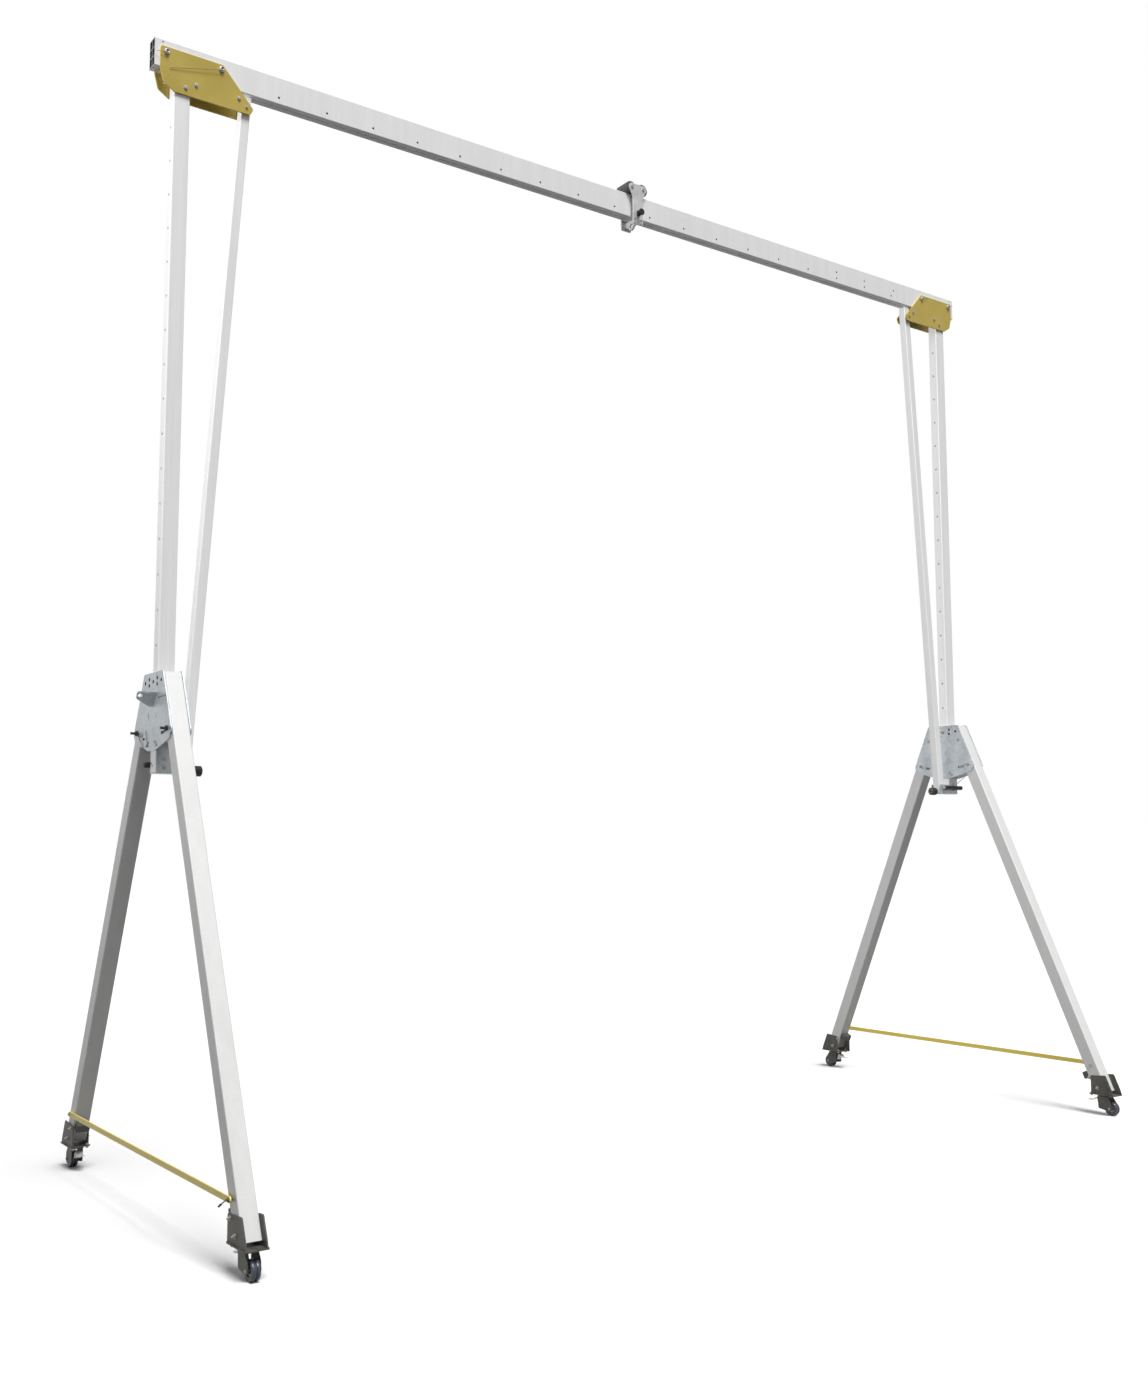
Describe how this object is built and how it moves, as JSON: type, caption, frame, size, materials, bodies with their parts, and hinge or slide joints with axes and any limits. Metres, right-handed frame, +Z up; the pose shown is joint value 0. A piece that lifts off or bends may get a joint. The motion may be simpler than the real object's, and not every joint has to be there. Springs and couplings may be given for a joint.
{
  "type": "portable gantry crane",
  "caption": "Portable aluminium gantry crane: box beam on height-adjustable folding A-frames with castors, tie bars and a push trolley with a lifting eye",
  "frame": {"origin": "on the floor under the middle of the beam", "axes": "+X along the beam to the right, +Y to the rear, +Z up"},
  "size_m": [5.45, 2.27, 5.2403],
  "materials": {
    "aluminium": "satin mill aluminium extrusion",
    "yellow_paint": "semi-gloss golden yellow powder coat",
    "galvanised": "galvanised, light spangle",
    "dull_steel": "dull grey-brown plated steel",
    "zinc": "bright zinc plated",
    "black_plastic": "black moulded knob plastic",
    "charcoal_plastic": "charcoal nylon roller",
    "tyre": "dark blue-black polyurethane tread"
  },
  "bodies": {
    "beam_assembly": {"beam": "aluminium", "head_plate_left_front": "yellow_paint", "head_plate_left_rear": "yellow_paint", "upright_left": "aluminium", "brace_left": "aluminium", "brace_shoe_left": "galvanised", "head_plate_right_front": "yellow_paint", "head_plate_right_rear": "yellow_paint", "upright_right": "aluminium", "brace_right": "aluminium", "brace_shoe_right": "galvanised"},
    "trolley": {"trolley_plate_front": "galvanised", "trolley_plate_rear": "galvanised", "trolley_axle_left": "zinc", "trolley_axle_right": "zinc", "trolley_eye": "galvanised"},
    "trolley_roller_left": {"trolley_roller_left": "charcoal_plastic"},
    "trolley_roller_right": {"trolley_roller_right": "charcoal_plastic"},
    "trolley_lock": {"trolley_lock_knob": "black_plastic"},
    "head_pin_left_outer": {"head_pin_left_outer": "zinc"},
    "head_pin_left_inner": {"head_pin_left_inner": "zinc"},
    "brace_knob_left": {"brace_knob_left": "black_plastic"},
    "a_frame_left": {"frame_plate_left_outer": "galvanised", "frame_plate_left_inner": "galvanised"},
    "height_pin_left": {"height_pin_left": "zinc"},
    "head_pin_right_outer": {"head_pin_right_outer": "zinc"},
    "head_pin_right_inner": {"head_pin_right_inner": "zinc"},
    "brace_knob_right": {"brace_knob_right": "black_plastic"},
    "a_frame_right": {"frame_plate_right_outer": "galvanised", "frame_plate_right_inner": "galvanised"},
    "height_pin_right": {"height_pin_right": "zinc"},
    "leg_left_front": {"leg_left_front": "aluminium", "foot_bracket_left_front": "dull_steel"},
    "leg_lock_left_front": {"leg_lock_left_front": "black_plastic"},
    "castor_left_front": {"castor_fork_left_front": "dull_steel"},
    "castor_wheel_left_front": {"castor_wheel_left_front": "tyre"},
    "brake_pedal_left_front": {"brake_pedal_left_front": "zinc"},
    "leg_left_rear": {"leg_left_rear": "aluminium", "foot_bracket_left_rear": "dull_steel"},
    "leg_lock_left_rear": {"leg_lock_left_rear": "black_plastic"},
    "castor_left_rear": {"castor_fork_left_rear": "dull_steel"},
    "castor_wheel_left_rear": {"castor_wheel_left_rear": "tyre"},
    "brake_pedal_left_rear": {"brake_pedal_left_rear": "zinc"},
    "leg_right_front": {"leg_right_front": "aluminium", "foot_bracket_right_front": "dull_steel"},
    "leg_lock_right_front": {"leg_lock_right_front": "black_plastic"},
    "castor_right_front": {"castor_fork_right_front": "dull_steel"},
    "castor_wheel_right_front": {"castor_wheel_right_front": "tyre"},
    "brake_pedal_right_front": {"brake_pedal_right_front": "zinc"},
    "leg_right_rear": {"leg_right_rear": "aluminium", "foot_bracket_right_rear": "dull_steel"},
    "leg_lock_right_rear": {"leg_lock_right_rear": "black_plastic"},
    "castor_right_rear": {"castor_fork_right_rear": "dull_steel"},
    "castor_wheel_right_rear": {"castor_wheel_right_rear": "tyre"},
    "brake_pedal_right_rear": {"brake_pedal_right_rear": "zinc"},
    "tie_bar_left": {"tie_bar_left": "yellow_paint"},
    "tie_pin_left": {"tie_pin_left": "zinc"},
    "tie_bar_right": {"tie_bar_right": "yellow_paint"},
    "tie_pin_right": {"tie_pin_right": "zinc"}
  },
  "joints": [
    {"name": "trolley_travel", "type": "slide", "parent": "beam_assembly", "child": "trolley", "axis": [1, 0, 0], "range_m": [-2.2, 2.16]},
    {"name": "trolley_roller_left_spin", "type": "hinge", "parent": "trolley", "child": "trolley_roller_left", "pos_m": [-0.0195, 0, 5.2053], "axis": [0, 1, 0], "continuous": true},
    {"name": "trolley_roller_right_spin", "type": "hinge", "parent": "trolley", "child": "trolley_roller_right", "pos_m": [0.0595, 0, 5.2053], "axis": [0, 1, 0], "continuous": true},
    {"name": "trolley_lock_pull", "type": "slide", "parent": "trolley", "child": "trolley_lock", "axis": [0, -1, 0], "range_m": [0, 0.012], "stiffness_N_per_m": 300},
    {"name": "head_pin_left_outer_pull", "type": "slide", "parent": "beam_assembly", "child": "head_pin_left_outer", "axis": [0, -1, 0], "range_m": [0, 0.11]},
    {"name": "head_pin_left_inner_pull", "type": "slide", "parent": "beam_assembly", "child": "head_pin_left_inner", "axis": [0, -1, 0], "range_m": [0, 0.11]},
    {"name": "brace_knob_left_turn", "type": "hinge", "parent": "beam_assembly", "child": "brace_knob_left", "pos_m": [-2.467, 0, 1.871], "axis": [1, 0, 0], "continuous": true},
    {"name": "height_left", "type": "slide", "parent": "beam_assembly", "child": "a_frame_left", "axis": [0, 0, 1], "range_m": [0, 1.738]},
    {"name": "height_pin_left_pull", "type": "slide", "parent": "a_frame_left", "child": "height_pin_left", "axis": [1, 0, 0], "range_m": [0, 0.03]},
    {"name": "head_pin_right_outer_pull", "type": "slide", "parent": "beam_assembly", "child": "head_pin_right_outer", "axis": [0, -1, 0], "range_m": [0, 0.11]},
    {"name": "head_pin_right_inner_pull", "type": "slide", "parent": "beam_assembly", "child": "head_pin_right_inner", "axis": [0, -1, 0], "range_m": [0, 0.11]},
    {"name": "brace_knob_right_turn", "type": "hinge", "parent": "beam_assembly", "child": "brace_knob_right", "pos_m": [2.467, 0, 1.871], "axis": [-1, 0, 0], "continuous": true},
    {"name": "height_right", "type": "slide", "parent": "beam_assembly", "child": "a_frame_right", "axis": [0, 0, 1], "range_m": [0, 1.738]},
    {"name": "height_pin_right_pull", "type": "slide", "parent": "a_frame_right", "child": "height_pin_right", "axis": [-1, 0, 0], "range_m": [0, 0.03]},
    {"name": "leg_left_front_fold", "type": "hinge", "parent": "a_frame_left", "child": "leg_left_front", "pos_m": [-2.5925, -0.11775, 2.2], "axis": [1, 0, 0], "range_deg": [0, 23.3]},
    {"name": "leg_lock_left_front_turn", "type": "hinge", "parent": "leg_left_front", "child": "leg_lock_left_front", "pos_m": [-2.5925, -0.18999, 2.04], "axis": [-1, 0, 0], "continuous": true},
    {"name": "castor_left_front_swivel", "type": "hinge", "parent": "leg_left_front", "child": "castor_left_front", "pos_m": [-2.5925, -1.045, 0.108], "axis": [0, 0, 1], "continuous": true},
    {"name": "castor_wheel_left_front_roll", "type": "hinge", "parent": "castor_left_front", "child": "castor_wheel_left_front", "pos_m": [-2.5925, -1.095, 0.04], "axis": [1, 0, 0], "continuous": true},
    {"name": "brake_pedal_left_front_press", "type": "hinge", "parent": "castor_left_front", "child": "brake_pedal_left_front", "pos_m": [-2.5925, -1.02, 0.058], "axis": [-1, 0, 0], "range_deg": [0, 20]},
    {"name": "leg_left_rear_fold", "type": "hinge", "parent": "a_frame_left", "child": "leg_left_rear", "pos_m": [-2.5925, 0.11775, 2.2], "axis": [-1, 0, 0], "range_deg": [0, 23.3]},
    {"name": "leg_lock_left_rear_turn", "type": "hinge", "parent": "leg_left_rear", "child": "leg_lock_left_rear", "pos_m": [-2.5925, 0.18999, 2.04], "axis": [-1, 0, 0], "continuous": true},
    {"name": "castor_left_rear_swivel", "type": "hinge", "parent": "leg_left_rear", "child": "castor_left_rear", "pos_m": [-2.5925, 1.045, 0.108], "axis": [0, 0, 1], "continuous": true},
    {"name": "castor_wheel_left_rear_roll", "type": "hinge", "parent": "castor_left_rear", "child": "castor_wheel_left_rear", "pos_m": [-2.5925, 1.095, 0.04], "axis": [1, 0, 0], "continuous": true},
    {"name": "brake_pedal_left_rear_press", "type": "hinge", "parent": "castor_left_rear", "child": "brake_pedal_left_rear", "pos_m": [-2.5925, 1.02, 0.058], "axis": [1, 0, 0], "range_deg": [0, 20]},
    {"name": "leg_right_front_fold", "type": "hinge", "parent": "a_frame_right", "child": "leg_right_front", "pos_m": [2.5925, -0.11775, 2.2], "axis": [1, 0, 0], "range_deg": [0, 23.3]},
    {"name": "leg_lock_right_front_turn", "type": "hinge", "parent": "leg_right_front", "child": "leg_lock_right_front", "pos_m": [2.5925, -0.18999, 2.04], "axis": [1, 0, 0], "continuous": true},
    {"name": "castor_right_front_swivel", "type": "hinge", "parent": "leg_right_front", "child": "castor_right_front", "pos_m": [2.5925, -1.045, 0.108], "axis": [0, 0, 1], "continuous": true},
    {"name": "castor_wheel_right_front_roll", "type": "hinge", "parent": "castor_right_front", "child": "castor_wheel_right_front", "pos_m": [2.5925, -1.095, 0.04], "axis": [1, 0, 0], "continuous": true},
    {"name": "brake_pedal_right_front_press", "type": "hinge", "parent": "castor_right_front", "child": "brake_pedal_right_front", "pos_m": [2.5925, -1.02, 0.058], "axis": [-1, 0, 0], "range_deg": [0, 20]},
    {"name": "leg_right_rear_fold", "type": "hinge", "parent": "a_frame_right", "child": "leg_right_rear", "pos_m": [2.5925, 0.11775, 2.2], "axis": [-1, 0, 0], "range_deg": [0, 23.3]},
    {"name": "leg_lock_right_rear_turn", "type": "hinge", "parent": "leg_right_rear", "child": "leg_lock_right_rear", "pos_m": [2.5925, 0.18999, 2.04], "axis": [1, 0, 0], "continuous": true},
    {"name": "castor_right_rear_swivel", "type": "hinge", "parent": "leg_right_rear", "child": "castor_right_rear", "pos_m": [2.5925, 1.045, 0.108], "axis": [0, 0, 1], "continuous": true},
    {"name": "castor_wheel_right_rear_roll", "type": "hinge", "parent": "castor_right_rear", "child": "castor_wheel_right_rear", "pos_m": [2.5925, 1.095, 0.04], "axis": [1, 0, 0], "continuous": true},
    {"name": "brake_pedal_right_rear_press", "type": "hinge", "parent": "castor_right_rear", "child": "brake_pedal_right_rear", "pos_m": [2.5925, 1.02, 0.058], "axis": [1, 0, 0], "range_deg": [0, 20]},
    {"name": "tie_bar_left_swing", "type": "hinge", "parent": "leg_left_rear", "child": "tie_bar_left", "pos_m": [-2.5925, 0.98915, 0.27], "axis": [-1, 0, 0], "range_deg": [0, 55]},
    {"name": "tie_pin_left_pull", "type": "slide", "parent": "tie_bar_left", "child": "tie_pin_left", "axis": [-1, 0, 0], "range_m": [0, 0.03]},
    {"name": "tie_bar_right_swing", "type": "hinge", "parent": "leg_right_front", "child": "tie_bar_right", "pos_m": [2.5925, -0.98915, 0.27], "axis": [1, 0, 0], "range_deg": [0, 55]},
    {"name": "tie_pin_right_pull", "type": "slide", "parent": "tie_bar_right", "child": "tie_pin_right", "axis": [1, 0, 0], "range_m": [0, 0.03]}
  ],
  "couplings": [
    {"joint": "trolley_roller_left_spin", "follows": "trolley_travel", "rad_per_m": 28.571},
    {"joint": "trolley_roller_right_spin", "follows": "trolley_travel", "rad_per_m": 28.571}
  ]
}
